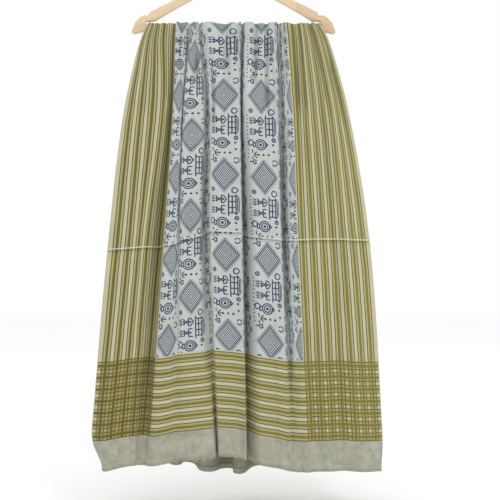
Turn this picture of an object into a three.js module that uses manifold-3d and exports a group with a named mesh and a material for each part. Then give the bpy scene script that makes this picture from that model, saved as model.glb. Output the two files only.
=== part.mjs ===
// A block printed cotton sarong, folded in half over the bar of a wooden hanger
//
// Millimetres, +Z up, X to the right of someone facing the front, front towards -Y.
// The origin is the inside top of the hook, where a rail touches it.
// The cloth is one flat rectangle, gathered along the bar, so a front fall and a
// back fall hang from it and widen towards their hems.

import * as THREE from "three";
import { mergeVertices } from "three/addons/utils/BufferGeometryUtils.js";
import Module from "manifold-3d";

// Cloth: the cut, its wall and its turned hems
const CUT_WIDTH = 940;
const WALL = 1.4;
const HEM_WIDTH = 10;
const HEM_WALL = 2.2;
const SEAM_GAP = 0.3;
const FRONT_DROP = 901;
const BACK_DROP = 936;

// Hanger: a shoulder piece sawn from board, a dowel bar and a wire hook
const BAR_RADIUS = 5.5;
const BAR_HEIGHT = -217;
const BAR_HALF_LENGTH = 203;
const SOCKET_CLEARANCE = 0.3;
const SHOULDER_THICKNESS = 12.5;
const SHOULDER_BEVEL = 1.5;
const WIRE_RADIUS = 1.8;
const HOOK_INNER_RADIUS = 20;
const HOOK_MOUTH_ANGLE = 200;
const HOOK_LEAVE_ANGLE = -50;
const SHANK_FOOT = -105;

// Levels down the fall, from the middle of the bar, that the fold tables speak of
const LEVELS = [0, 171, 449, 850];

// Front fold lines: distance across the cut, how much lower its hem hangs, then
// where the line runs and how far it stands out in front of the bar, at each level
const FRONT_FOLDS = [
  // kind, across, sag, x at each level, out at each level
  ["edge", 0, 18, [-180, -226, -257, -291], [9, 24, 50, 65]],
  ["ridge", 31, 14, [-173, -200, -224, -259], [14, 29, 52, 83]],
  ["soft", 57, 10, [-163, -176, -200, -234], [9, 21, 44, 76]],
  ["ridge", 86, 7, [-146, -147, -179, -207], [14, 26, 37, 68]],
  ["deep", 134, 8, [-124, -131, -156, -186], [6.5, 7, 10, 52]],
  ["ridge", 176, 8, [-117, -121, -135, -160], [17, 28, 48, 66]],
  ["ridge", 200, 5, [-100, -108, -118, -137], [15, 28, 47, 61]],
  ["soft", 218, 1, [-92, -105, -114, -120], [8, 19, 38, 57]],
  ["ridge", 237, -2, [-84, -102, -106, -100], [16, 27, 46, 62]],
  ["soft", 278, -7, [-75, -63, -68, -57], [17, 23, 35, 61]],
  ["deep", 294, -9, [-71, -58, -63, -40], [6.5, 7, 11, 60]],
  ["soft", 322, -13, [-66, -52, -53, -35], [15, 17, 27, 43]],
  ["ridge", 355, -12, [-55, -46, -44, -29], [17, 26, 44, 62]],
  ["soft", 386, -9, [-22, -17, -15, 3], [9, 24, 44, 62]],
  ["ridge", 418, -6, [12, 13, 17, 25], [18, 31, 52, 73]],
  ["deep", 484, -3, [18, 16, 21, 29], [6.5, 7, 9, 42]],
  ["soft", 534, 1, [25, 21, 30, 42], [14, 21, 28, 59]],
  ["ridge", 553, 5, [38, 36, 48, 59], [17, 29, 44, 74]],
  ["soft", 580, 10, [62, 62, 74, 87], [10, 26, 47, 74]],
  ["ridge", 609, 15, [86, 90, 98, 114], [17, 29, 50, 78]],
  ["soft", 668, 16, [96, 99, 104, 124], [6.5, 7, 15, 75]],
  ["ridge", 735, 17, [103, 111, 118, 137], [12, 22, 38, 77]],
  ["ridge", 770, 17, [108, 122, 133, 150], [14, 25, 41, 80]],
  ["soft", 787, 16, [128, 137, 148, 165], [6.5, 17, 38, 77]],
  ["ridge", 817, 14, [141, 157, 175, 192], [14, 28, 43, 85]],
  ["soft", 849, 14, [155, 182, 204, 222], [9, 19, 36, 76]],
  ["ridge", 877, 15, [165, 202, 228, 252], [14, 30, 46, 83]],
  ["soft", 909, 17, [175, 220, 256, 280], [9, 21, 42, 74]],
  ["edge", 940, 18, [183, 238, 283, 307], [9, 22, 37, 64]],
];

// Back fold lines: eight soft folds between the two side edges, spread evenly and
// then pushed sideways by the shift
const BACK_EDGES = { left: [-180, -222, -246, -264], right: [183, 232, 270, 294] };
const BACK_FOLDS = [
  // kind, across, sag, shift, out at each level
  ["edge", 0, -16, 0, [9, 22, 38, 52]],
  ["ridge", 52, -15, 4, [14, 28, 50, 76]],
  ["deep", 111, -15, -3, [6.5, 8, 11, 24]],
  ["ridge", 171, -14, 2, [14, 26, 46, 70]],
  ["deep", 226, -11, 6, [6.5, 8, 9, 14]],
  ["ridge", 287, -3, -4, [14, 28, 52, 74]],
  ["deep", 348, 3, 0, [6.5, 7, 8, 12]],
  ["ridge", 412, 8, 5, [15, 27, 48, 66]],
  ["deep", 470, 9, -4, [6.5, 7, 10, 18]],
  ["ridge", 528, 5, 2, [14, 29, 54, 76]],
  ["deep", 585, -5, 7, [6.5, 8, 12, 24]],
  ["ridge", 649, -13, -2, [14, 25, 44, 64]],
  ["deep", 710, -15, 3, [6.5, 8, 10, 15]],
  ["ridge", 769, -16, -5, [14, 28, 50, 74]],
  ["deep", 827, -15, 2, [6.5, 9, 14, 28]],
  ["ridge", 887, -14, 5, [14, 27, 50, 78]],
  ["edge", 940, -14, 0, [9, 22, 38, 54]],
];

// Small gathers that the bar crushes into the cloth, fading out down the fall
const GATHER_PITCH = 46;
const GATHER_DEPTH = 2.2;
const GATHER_WANDER = 0.35;
const GATHER_WANDER_PITCH = 210;
const GATHER_REACH = [150, 330];

// The cloth's hump over the bar: a fold that stands out also stands up a little
const CROWN_RISE = 0.3;
const CROWN_LENGTH = 14;
const CROWN_STEPS = 4;

// Behind the bar the cloth keeps the front's gathers down to here, then falls free
const BACK_FREE_BELOW = 150;

// How finely the falls are cut into facets
const FRONT_FACET_WIDTH = 10;
const BACK_FACET_WIDTH = 14;
const FALL_STEPS = 10;
const STEP_CROWDING = 1.25;

// How far the side edges spread just below the bar, and turn in again at the corners
const EDGE_FLARE = 7;
const EDGE_FLARE_DOWN = 38;
const CORNER_CURL = { left: 29, right: -7 };
const CORNER_CURL_HEIGHT = 100;

const BAR_CLEAR_RADIUS = BAR_RADIUS + SEAM_GAP + WALL / 2;

const clamp01 = (value) => Math.min(1, Math.max(0, value));
const smooth = (value) => clamp01(value) ** 2 * (3 - 2 * clamp01(value));
const mix = (a, b, t) => a + (b - a) * t;

// A smooth curve through values at the four levels, straight on past the last
function atLevel(values, down) {
  const last = LEVELS.length - 1;
  const slope = LEVELS.map((level, i) => {
    const before = Math.max(0, i - 1);
    const after = Math.min(last, i + 1);
    return (values[after] - values[before]) / (LEVELS[after] - LEVELS[before]);
  });
  if (down >= LEVELS[last]) {
    return values[last] + slope[last] * (down - LEVELS[last]);
  }
  let i = 0;
  while (down > LEVELS[i + 1]) i += 1;
  const span = LEVELS[i + 1] - LEVELS[i];
  return hermite(values[i], values[i + 1], slope[i] * span, slope[i + 1] * span, (down - LEVELS[i]) / span);
}

function hermite(a, b, slopeA, slopeB, t) {
  const t2 = t * t;
  const t3 = t2 * t;
  return a * (2 * t3 - 3 * t2 + 1) + slopeA * (t3 - 2 * t2 + t)
    + b * (3 * t2 - 2 * t3) + slopeB * (t3 - t2);
}

// Slopes that round each fold line off and never overshoot between two of them
function foldSlopes(knots, values) {
  const steps = knots.slice(1).map((knot, i) => (values[i + 1] - values[i]) / (knot - knots[i]));
  return knots.map((knot, i) => {
    if (i === 0) return steps[0];
    if (i === knots.length - 1) return steps[i - 1];
    if (steps[i - 1] * steps[i] <= 0) return 0;
    return (2 * steps[i - 1] * steps[i]) / (steps[i - 1] + steps[i]);
  });
}

// Where the cloth lies at one distance across the cut, from its fold lines
function acrossFolds(folds, across) {
  const knots = folds.map((fold) => fold.across);
  let i = 0;
  while (i < folds.length - 2 && across > knots[i + 1]) i += 1;
  const span = knots[i + 1] - knots[i];
  const t = (across - knots[i]) / span;
  const read = (name) => {
    const values = folds.map((fold) => fold[name]);
    const slopes = foldSlopes(knots, values);
    return hermite(values[i], values[i + 1], slopes[i] * span, slopes[i + 1] * span, t);
  };
  let x = read("x");
  const turning = ["ridge", "deep"];
  if (folds[i].kind !== folds[i + 1].kind
    && turning.includes(folds[i].kind) && turning.includes(folds[i + 1].kind)) {
    const dx = folds[i + 1].x - folds[i].x;
    const swing = Math.min(1, span / Math.abs(dx) - 1);
    x += (dx * swing * Math.sin(2 * Math.PI * t)) / (2 * Math.PI);
  }
  return { x, out: read("out"), sag: read("sag") };
}

function frontFoldsAt(down) {
  return FRONT_FOLDS.map(([kind, across, sag, x, out]) => (
    { kind, across, sag, x: atLevel(x, down), out: atLevel(out, down) }));
}

function backFoldsAt(down) {
  const left = atLevel(BACK_EDGES.left, down);
  const right = atLevel(BACK_EDGES.right, down);
  return BACK_FOLDS.map(([kind, across, sag, shift, out]) => (
    { kind, across, sag, x: mix(left, right, across / CUT_WIDTH) + shift, out: atLevel(out, down) }));
}

// The small gathers always stand outwards, so they never press into the bar
function gatherHeight(across, down) {
  const wander = GATHER_WANDER * Math.sin((2 * Math.PI * across) / GATHER_WANDER_PITCH);
  const turn = 2 * Math.PI * (across / GATHER_PITCH + wander);
  const reach = mix(GATHER_REACH[0], GATHER_REACH[1], 0.5 + 0.5 * Math.sin(across / 70));
  return GATHER_DEPTH * (1 - Math.cos(turn)) * (1 - smooth(down / reach));
}

// One fall: a point for any distance across the cut and down from the bar. Below
// zero the way down is the hump over the bar. Side is -1 in front and 1 behind.
function makeFall(side, drop, foldsAt) {
  const cache = new Map();
  const foldsFor = (reader, down) => {
    const key = `${reader.name} ${down}`;
    if (!cache.has(key)) cache.set(key, reader(down));
    return cache.get(key);
  };
  return (across, along) => {
    const down = Math.max(0, along);
    const own = acrossFolds(foldsFor(foldsAt, down), across);
    const bar = acrossFolds(foldsFor(frontFoldsAt, 0), across);
    const free = side < 0 ? 1 : smooth(down / BACK_FREE_BELOW);
    const gather = gatherHeight(across, down);
    const out = mix(bar.out, own.out, free) + gather;
    const flare = (down / EDGE_FLARE_DOWN) * Math.exp(1 - down / EDGE_FLARE_DOWN);
    const low = smooth((down - drop + CORNER_CURL_HEIGHT) / CORNER_CURL_HEIGHT) ** 2;
    const fromMiddle = (2 * across) / CUT_WIDTH - 1;
    const curl = fromMiddle < 0 ? CORNER_CURL.left : CORNER_CURL.right;
    const x = mix(bar.x, own.x, free) + EDGE_FLARE * flare * fromMiddle ** 5 + curl * low * fromMiddle ** 14;
    if (along >= 0) {
      return new THREE.Vector3(x, side * out, BAR_HEIGHT - down - own.sag * (down / drop));
    }
    const turn = (Math.PI / 2) * (1 + along / CROWN_LENGTH);
    const rise = BAR_CLEAR_RADIUS + CROWN_RISE * (out - BAR_CLEAR_RADIUS);
    const y = side * Math.max(0, SEAM_GAP / 2 + (out - SEAM_GAP / 2) * Math.sin(turn));
    return new THREE.Vector3(x, y, BAR_HEIGHT + rise * Math.cos(turn));
  };
}

// The outward direction of a fall, level across the crown where the falls meet
function outward(fall, side, across, along) {
  const step = 0.5;
  const sideways = fall(across + step, along).sub(fall(across - step, along));
  const downwards = along <= -CROWN_LENGTH
    ? new THREE.Vector3(0, side, 0)
    : fall(across, along + step).sub(fall(across, along - step));
  return sideways.cross(downwards).multiplyScalar(-side).normalize();
}

// A wall of even thickness round a fall, closed along all four of its edges
function clothWall(fall, side, acrossStops, alongStops, wall) {
  const columns = acrossStops.length;
  const rows = alongStops.length;
  const faces = [1, -1].map((face) => alongStops.map((along) => acrossStops.map((across) => (
    fall(across, along).addScaledVector(outward(fall, side, across, along), (face * wall) / 2)))));
  const vertices = faces.flat(2).flatMap((point) => point.toArray());
  const at = (face, row, column) => (face * rows + row) * columns + column;
  const triangles = [];
  const quad = (a, b, c, d) => triangles.push(a, b, c, a, c, d);
  for (let row = 0; row < rows - 1; row += 1) {
    for (let column = 0; column < columns - 1; column += 1) {
      quad(at(0, row, column), at(0, row + 1, column), at(0, row + 1, column + 1), at(0, row, column + 1));
      quad(at(1, row, column), at(1, row, column + 1), at(1, row + 1, column + 1), at(1, row + 1, column));
    }
  }
  for (let column = 0; column < columns - 1; column += 1) {
    quad(at(0, 0, column), at(0, 0, column + 1), at(1, 0, column + 1), at(1, 0, column));
    const end = rows - 1;
    quad(at(0, end, column), at(1, end, column), at(1, end, column + 1), at(0, end, column + 1));
  }
  for (let row = 0; row < rows - 1; row += 1) {
    quad(at(0, row, 0), at(1, row, 0), at(1, row + 1, 0), at(0, row + 1, 0));
    const end = columns - 1;
    quad(at(0, row, end), at(0, row + 1, end), at(1, row + 1, end), at(1, row, end));
  }
  if (side < 0) triangles.reverse();
  const geometry = new THREE.BufferGeometry();
  geometry.setAttribute("position", new THREE.Float32BufferAttribute(vertices, 3));
  geometry.setIndex(triangles);
  return geometry;
}

// Stops across the cut: every fold line, and evenly between two of them
function acrossStopsOf(table, facetWidth) {
  const lines = table.map((row) => row[1]);
  const stops = [lines[0]];
  for (let i = 0; i < lines.length - 1; i += 1) {
    const parts = Math.max(1, Math.round((lines[i + 1] - lines[i]) / facetWidth));
    for (let part = 1; part <= parts; part += 1) {
      stops.push(mix(lines[i], lines[i + 1], part / parts));
    }
  }
  return stops;
}

// Stops down the fall: round the crown, then closer together near the bar
function alongStopsTo(foot) {
  const stops = [];
  for (let i = 0; i < CROWN_STEPS; i += 1) stops.push(-CROWN_LENGTH * (1 - i / CROWN_STEPS));
  for (let i = 0; i <= FALL_STEPS; i += 1) stops.push(foot * (i / FALL_STEPS) ** STEP_CROWDING);
  return stops;
}

const cottonFinish = new THREE.MeshStandardMaterial({ color: 0xb3b5ab, roughness: 0.9, metalness: 0 });
const hemFinish = new THREE.MeshStandardMaterial({ color: 0xa6a79a, roughness: 0.9, metalness: 0 });
const woodFinish = new THREE.MeshStandardMaterial({ color: 0xd9c5a4, roughness: 0.55, metalness: 0 });
const steelFinish = new THREE.MeshStandardMaterial({ color: 0xc4c6c8, roughness: 0.28, metalness: 1 });

const sarong = new THREE.Group();

function addPiece(name, geometry, material) {
  const mesh = new THREE.Mesh(geometry, material);
  mesh.name = name;
  sarong.add(mesh);
}

// Falls and hems: each hem carries on its fall's own surface, in a thicker wall
const falls = [
  { name: "front", side: -1, drop: FRONT_DROP, folds: FRONT_FOLDS, reader: frontFoldsAt, facet: FRONT_FACET_WIDTH },
  { name: "back", side: 1, drop: BACK_DROP, folds: BACK_FOLDS, reader: backFoldsAt, facet: BACK_FACET_WIDTH },
];
for (const { name, side, drop, folds, reader, facet } of falls) {
  const fall = makeFall(side, drop, reader);
  const acrossStops = acrossStopsOf(folds, facet);
  const foot = drop - HEM_WIDTH - SEAM_GAP;
  addPiece(`sarong_${name}`, clothWall(fall, side, acrossStops, alongStopsTo(foot), WALL), cottonFinish);
  addPiece(`hem_${name}`, clothWall(fall, side, acrossStops, [drop - HEM_WIDTH, drop], HEM_WALL), hemFinish);
}

// Shoulder piece: one half of the outline, from the top middle out to the tip and
// back along the underside, then the same points mirrored
const SHOULDER_HALF = [
  // x, z
  [0, -90], [18, -92], [36, -101], [60, -125], [95, -144.5], [130, -163], [160, -178], [177, -187.5],
  [178.5, -192], [182, -193.5], [188, -192.5], [198, -198], [207, -208], [213, -222], [214.5, -229],
  [209, -231.5], [200, -229], [190, -226.5], [184, -225], [184, -205.5], [165, -204],
  [130, -183], [95, -163.5], [60, -144], [36, -133], [18, -129], [0, -128],
];

function shoulderGeometry() {
  const left = SHOULDER_HALF.slice(1, -1).reverse().map(([x, z]) => [-x, z]);
  const points = [...SHOULDER_HALF, ...left].map(([x, z]) => new THREE.Vector2(x, z));
  const geometry = new THREE.ExtrudeGeometry(new THREE.Shape(points), {
    depth: SHOULDER_THICKNESS - 2 * SHOULDER_BEVEL,
    bevelEnabled: true,
    bevelThickness: SHOULDER_BEVEL,
    bevelSize: SHOULDER_BEVEL,
    bevelOffset: -SHOULDER_BEVEL,
    bevelSegments: 2,
  });
  geometry.translate(0, 0, -(SHOULDER_THICKNESS - 2 * SHOULDER_BEVEL) / 2);
  geometry.rotateX(Math.PI / 2);
  return geometry;
}

function rod(radius, from, to, sides) {
  const axis = new THREE.Vector3().subVectors(to, from);
  const geometry = new THREE.CylinderGeometry(radius, radius, axis.length(), sides);
  const upright = new THREE.Vector3(0, 1, 0);
  geometry.applyQuaternion(new THREE.Quaternion().setFromUnitVectors(upright, axis.clone().normalize()));
  const middle = new THREE.Vector3().addVectors(from, to).multiplyScalar(0.5);
  geometry.translate(middle.x, middle.y, middle.z);
  return geometry;
}

const wasm = await Module();
wasm.setup();

function toManifold(geometry) {
  const bare = geometry.clone();
  bare.deleteAttribute("normal");
  bare.deleteAttribute("uv");
  const merged = mergeVertices(bare, 1e-4);
  return new wasm.Manifold(new wasm.Mesh({
    numProp: 3,
    vertProperties: new Float32Array(merged.attributes.position.array),
    triVerts: new Uint32Array(merged.index.array),
  }));
}

function toGeometry(solid) {
  const mesh = solid.getMesh();
  const geometry = new THREE.BufferGeometry();
  geometry.setAttribute("position", new THREE.Float32BufferAttribute(mesh.vertProperties, 3));
  geometry.setIndex([...mesh.triVerts]);
  return geometry;
}

const point = (x, y, z) => new THREE.Vector3(x, y, z);
const BAR_SIDES = 20;
const SOCKET_MOUTH = 150;
const socketReach = BAR_HALF_LENGTH + SOCKET_CLEARANCE;
let shoulder = toManifold(shoulderGeometry());
for (const end of [-1, 1]) {
  shoulder = shoulder.subtract(toManifold(rod(BAR_RADIUS + SOCKET_CLEARANCE,
    point(end * SOCKET_MOUTH, 0, BAR_HEIGHT), point(end * socketReach, 0, BAR_HEIGHT), BAR_SIDES)));
}
const SHANK_SIDES = 10;
shoulder = shoulder.subtract(toManifold(rod(WIRE_RADIUS + SOCKET_CLEARANCE,
  point(0, 0, SHANK_FOOT - SOCKET_CLEARANCE), point(0, 0, 0), SHANK_SIDES)));
addPiece("hanger_shoulder", toGeometry(shoulder), woodFinish);

addPiece("hanger_bar", rod(BAR_RADIUS,
  point(-BAR_HALF_LENGTH, 0, BAR_HEIGHT), point(BAR_HALF_LENGTH, 0, BAR_HEIGHT), BAR_SIDES), woodFinish);

// Hook: a round eye, then a bend the other way that brings the wire back under the
// middle of the eye, and a straight shank down into the wood
function hookCurve() {
  const radians = Math.PI / 180;
  const eyeRadius = HOOK_INNER_RADIUS + WIRE_RADIUS;
  const leave = HOOK_LEAVE_ANGLE * radians;
  const points = [];
  const eyeSteps = 15;
  for (let i = 0; i <= eyeSteps; i += 1) {
    const angle = mix(HOOK_MOUTH_ANGLE * radians, leave, i / eyeSteps);
    points.push(point(eyeRadius * Math.cos(angle), 0, -HOOK_INNER_RADIUS + eyeRadius * Math.sin(angle)));
  }
  const bendRadius = (eyeRadius * Math.cos(leave)) / (1 - Math.cos(leave));
  const bendFoot = -HOOK_INNER_RADIUS + eyeRadius * Math.sin(leave) + bendRadius * Math.sin(leave);
  const bendSteps = 4;
  for (let i = 1; i <= bendSteps; i += 1) {
    const angle = leave * (1 - i / bendSteps);
    points.push(point(bendRadius * (1 - Math.cos(angle)), 0, bendFoot - bendRadius * Math.sin(angle)));
  }
  points.push(point(0, 0, mix(bendFoot, SHANK_FOOT, 0.4)), point(0, 0, SHANK_FOOT));
  return new THREE.CatmullRomCurve3(points, false, "centripetal");
}

function hookGeometry() {
  const ring = [];
  for (let i = 0; i < SHANK_SIDES; i += 1) {
    const angle = (2 * Math.PI * i) / SHANK_SIDES;
    ring.push(new THREE.Vector2(WIRE_RADIUS * Math.cos(angle), WIRE_RADIUS * Math.sin(angle)));
  }
  return new THREE.ExtrudeGeometry(new THREE.Shape(ring), { steps: 34, extrudePath: hookCurve(), bevelEnabled: false });
}

addPiece("hanger_hook", hookGeometry(), steelFinish);

export default sarong;
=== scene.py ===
# A block printed cotton sarong, folded in half over the bar of a wooden hanger
#
# Metres, +Z up, front towards -Y. The origin is the inside top of the hook.

import math
import bmesh
import bpy
import numpy as np
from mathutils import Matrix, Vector


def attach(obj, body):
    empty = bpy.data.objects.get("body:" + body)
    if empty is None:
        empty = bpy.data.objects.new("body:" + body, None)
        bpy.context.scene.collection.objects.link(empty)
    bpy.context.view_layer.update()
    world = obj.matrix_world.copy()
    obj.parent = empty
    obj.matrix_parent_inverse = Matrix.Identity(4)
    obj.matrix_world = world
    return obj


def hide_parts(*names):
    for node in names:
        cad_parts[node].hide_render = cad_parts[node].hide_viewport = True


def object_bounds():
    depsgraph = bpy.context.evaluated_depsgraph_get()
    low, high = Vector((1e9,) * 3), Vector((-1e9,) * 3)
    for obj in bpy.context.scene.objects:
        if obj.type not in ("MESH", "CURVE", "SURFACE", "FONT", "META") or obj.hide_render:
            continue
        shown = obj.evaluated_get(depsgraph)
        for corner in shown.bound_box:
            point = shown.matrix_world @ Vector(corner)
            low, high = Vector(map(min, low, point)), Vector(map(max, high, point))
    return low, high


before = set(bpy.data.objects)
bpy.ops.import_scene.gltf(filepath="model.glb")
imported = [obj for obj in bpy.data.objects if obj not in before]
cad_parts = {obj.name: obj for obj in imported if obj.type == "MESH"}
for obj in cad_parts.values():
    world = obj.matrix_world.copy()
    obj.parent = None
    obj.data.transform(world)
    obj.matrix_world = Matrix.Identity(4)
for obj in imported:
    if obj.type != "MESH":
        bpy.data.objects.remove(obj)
cad_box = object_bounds()
MM = 0.001


# The room: a plain pale floor under the cloth, a white sky for even light, and a
# camera level with the middle of the cloth, two metres in front of the bar.
PHOTO_SIZE = 500
MM_PER_PIXEL = 2.108
CAMERA_DISTANCE = 2.0
CAMERA_X = 0.0348
CAMERA_Z = -0.6864
SENSOR = 36
SKY_STRENGTH = 1.0
FLOOR_DROP = 0.06


def linear(hex_colour):
    channels = [int(hex_colour[i:i + 2], 16) / 255 for i in (1, 3, 5)]
    return [c / 12.92 if c <= 0.04045 else ((c + 0.055) / 1.055) ** 2.4 for c in channels] + [1.0]


def node(tree, kind, *values, **named):
    """Adds a node, such as Math.ADD, gives its inputs in use a value or a link, in their
    order or by name, and returns its output."""
    kind, _, choice = kind.partition(".")
    made = tree.nodes.new("ShaderNode" + kind)
    if choice:
        setattr(made, {"Mix": "data_type", "UVMap": "uv_map"}.get(kind, "operation"), choice)
    sockets = [socket for socket in made.inputs if socket.enabled]
    by_name = {socket.name.replace(" ", "_"): socket for socket in sockets}
    for key, value in [*enumerate(values), *named.items()]:
        socket = sockets[key] if isinstance(key, int) else by_name[key]
        if isinstance(value, bpy.types.NodeSocket):
            tree.links.new(value, socket)
        else:
            socket.default_value = value
    return next(output for output in made.outputs if output.enabled)


def object_place(tree):
    return node(tree, "TexCoord").node.outputs["Object"]


def new_material(name):
    made = bpy.data.materials.new(name)
    made.use_nodes = True
    return made, made.node_tree, made.node_tree.nodes["Principled BSDF"]


def new_object(name, mesh):
    made = bpy.data.objects.new(name, mesh)
    bpy.context.scene.collection.objects.link(made)
    return made


def area_light(name, place, aim, size, power):
    lamp = bpy.data.lights.new(name, "AREA")
    lamp.shape = "DISK"
    lamp.size = size
    lamp.energy = power
    made = new_object(name, lamp)
    made.location = place
    made.rotation_euler = (Vector(aim) - Vector(place)).to_track_quat("-Z", "Y").to_euler()


def floor_material():
    made, tree, shader = new_material("pale_floor")
    grain = node(tree, "TexNoise", object_place(tree), Scale=3.0, Detail=2.0)
    tint = node(tree, "MapRange", grain, To_Min=0.96, To_Max=0.99)
    tree.links.new(tint, shader.inputs["Base Color"])
    shader.inputs["Roughness"].default_value = 0.9
    return made


floor_z = cad_box[0].z - FLOOR_DROP
floor_mesh = bmesh.new()
bmesh.ops.create_grid(floor_mesh, x_segments=1, y_segments=1, size=6)
bmesh.ops.translate(floor_mesh, vec=(0, 0, floor_z), verts=floor_mesh.verts)
floor_data = bpy.data.meshes.new("floor")
floor_mesh.to_mesh(floor_data)
floor_mesh.free()
floor_data.materials.append(floor_material())
new_object("floor", floor_data)

sky = bpy.data.worlds.new("white_sky")
sky.use_nodes = True
sky.node_tree.nodes["Background"].inputs["Color"].default_value = (1, 1, 1, 1)
sky.node_tree.nodes["Background"].inputs["Strength"].default_value = SKY_STRENGTH
bpy.context.scene.world = sky
bpy.context.scene.view_settings.view_transform = "Standard"
area_light("key_light", (1.5, -2.2, 0.7), (0, 0, -0.6), 1.0, 14)
area_light("rear_light", (-1.2, 2.2, 0.4), (0, 0, -0.6), 1.6, 10)

camera_data = bpy.data.cameras.new("camera")
camera_data.sensor_width = SENSOR
camera_data.lens = SENSOR * CAMERA_DISTANCE / (PHOTO_SIZE * MM_PER_PIXEL * MM)
camera = new_object("camera", camera_data)
camera.location = (CAMERA_X, -CAMERA_DISTANCE, CAMERA_Z)
camera.rotation_euler = (math.pi / 2, 0, 0)
bpy.context.scene.camera = camera


# The printed panel: thin plain weave cotton, one cut of 0.94 by 1.87 m with woven side
# edges, hung in half over the bar. Each fall is a thin shell shaped by its fold lines,
# which say where they run and how far they stand out at four levels down the fall.
CUT_WIDTH = 940
CLOTH_THICKNESS = 0.5
BAR_RADIUS = 5.5
BAR_HEIGHT = -217
BAR_CLEAR_RADIUS = BAR_RADIUS + 1.0
CROWN_RISE = 0.3
CROWN_LENGTH = 14
BACK_FREE_BELOW = 150
EDGE_FLARE = 7
EDGE_FLARE_DOWN = 38
EDGE_FLARE_POWER = 5
CORNER_CURL = (29, 7)
CORNER_CURL_HEIGHT = 100
CORNER_CURL_POWER = 14
GATHER_PITCH = 46
GATHER_DEPTH = 2.2
GATHER_WANDER = 0.35
GATHER_WANDER_PITCH = 210
GATHER_REACH = (150, 330)
GATHER_REACH_TURN = 70
LEVELS = (0, 171, 449, 850)
DROP = {"front": 901, "back": 936}
CUT_LENGTH = DROP["front"] + DROP["back"] + 2 * CROWN_LENGTH

FRONT_FOLDS = (
    # kind, across, sag, x at each level, out at each level
    ("edge", 0, 18, (-180, -226, -257, -291), (9, 24, 50, 65)),
    ("ridge", 31, 14, (-173, -200, -224, -259), (14, 29, 52, 83)),
    ("soft", 57, 10, (-163, -176, -200, -234), (9, 21, 44, 76)),
    ("ridge", 86, 7, (-146, -147, -179, -207), (14, 26, 37, 68)),
    ("deep", 134, 8, (-124, -131, -156, -186), (6.5, 7, 10, 52)),
    ("ridge", 176, 8, (-117, -121, -135, -160), (17, 28, 48, 66)),
    ("ridge", 200, 5, (-100, -108, -118, -137), (15, 28, 47, 61)),
    ("soft", 218, 1, (-92, -105, -114, -120), (8, 19, 38, 57)),
    ("ridge", 237, -2, (-84, -102, -106, -100), (16, 27, 46, 62)),
    ("soft", 278, -7, (-75, -63, -68, -57), (17, 23, 35, 61)),
    ("deep", 294, -9, (-71, -58, -63, -40), (6.5, 7, 11, 60)),
    ("soft", 322, -13, (-66, -52, -53, -35), (15, 17, 27, 43)),
    ("ridge", 355, -12, (-55, -46, -44, -29), (17, 26, 44, 62)),
    ("soft", 386, -9, (-22, -17, -15, 3), (9, 24, 44, 62)),
    ("ridge", 418, -6, (12, 13, 17, 25), (18, 31, 52, 73)),
    ("deep", 484, -3, (18, 16, 21, 29), (6.5, 7, 9, 42)),
    ("soft", 534, 1, (25, 21, 30, 42), (14, 21, 28, 59)),
    ("ridge", 553, 5, (38, 36, 48, 59), (17, 29, 44, 74)),
    ("soft", 580, 10, (62, 62, 74, 87), (10, 26, 47, 74)),
    ("ridge", 609, 15, (86, 90, 98, 114), (17, 29, 50, 78)),
    ("soft", 668, 16, (96, 99, 104, 124), (6.5, 7, 15, 75)),
    ("ridge", 735, 17, (103, 111, 118, 137), (12, 22, 38, 77)),
    ("ridge", 770, 17, (108, 122, 133, 150), (14, 25, 41, 80)),
    ("soft", 787, 16, (128, 137, 148, 165), (6.5, 17, 38, 77)),
    ("ridge", 817, 14, (141, 157, 175, 192), (14, 28, 43, 85)),
    ("soft", 849, 14, (155, 182, 204, 222), (9, 19, 36, 76)),
    ("ridge", 877, 15, (165, 202, 228, 252), (14, 30, 46, 83)),
    ("soft", 909, 17, (175, 220, 256, 280), (9, 21, 42, 74)),
    ("edge", 940, 18, (183, 238, 283, 307), (9, 22, 37, 64)),
)
BACK_LEFT_EDGE = (-180, -222, -246, -264)
BACK_RIGHT_EDGE = (183, 232, 270, 294)
BACK_FOLDS = (
    # kind, across, sag, shift, out at each level
    ("edge", 0, -16, 0, (9, 22, 38, 52)),
    ("ridge", 52, -15, 4, (14, 28, 50, 76)),
    ("deep", 111, -15, -3, (6.5, 8, 11, 24)),
    ("ridge", 171, -14, 2, (14, 26, 46, 70)),
    ("deep", 226, -11, 6, (6.5, 8, 9, 14)),
    ("ridge", 287, -3, -4, (14, 28, 52, 74)),
    ("deep", 348, 3, 0, (6.5, 7, 8, 12)),
    ("ridge", 412, 8, 5, (15, 27, 48, 66)),
    ("deep", 470, 9, -4, (6.5, 7, 10, 18)),
    ("ridge", 528, 5, 2, (14, 29, 54, 76)),
    ("deep", 585, -5, 7, (6.5, 8, 12, 24)),
    ("ridge", 649, -13, -2, (14, 25, 44, 64)),
    ("deep", 710, -15, 3, (6.5, 8, 10, 15)),
    ("ridge", 769, -16, -5, (14, 28, 50, 74)),
    ("deep", 827, -15, 2, (6.5, 9, 14, 28)),
    ("ridge", 887, -14, 5, (14, 27, 50, 78)),
    ("edge", 940, -14, 0, (9, 22, 38, 54)),
)


def smooth(value):
    held = np.clip(value, 0, 1)
    return held * held * (3 - 2 * held)


def hermite(a, b, slope_a, slope_b, t):
    t2 = t * t
    t3 = t2 * t
    return (a * (2 * t3 - 3 * t2 + 1) + slope_a * (t3 - 2 * t2 + t)
            + b * (3 * t2 - 2 * t3) + slope_b * (t3 - t2))


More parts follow.
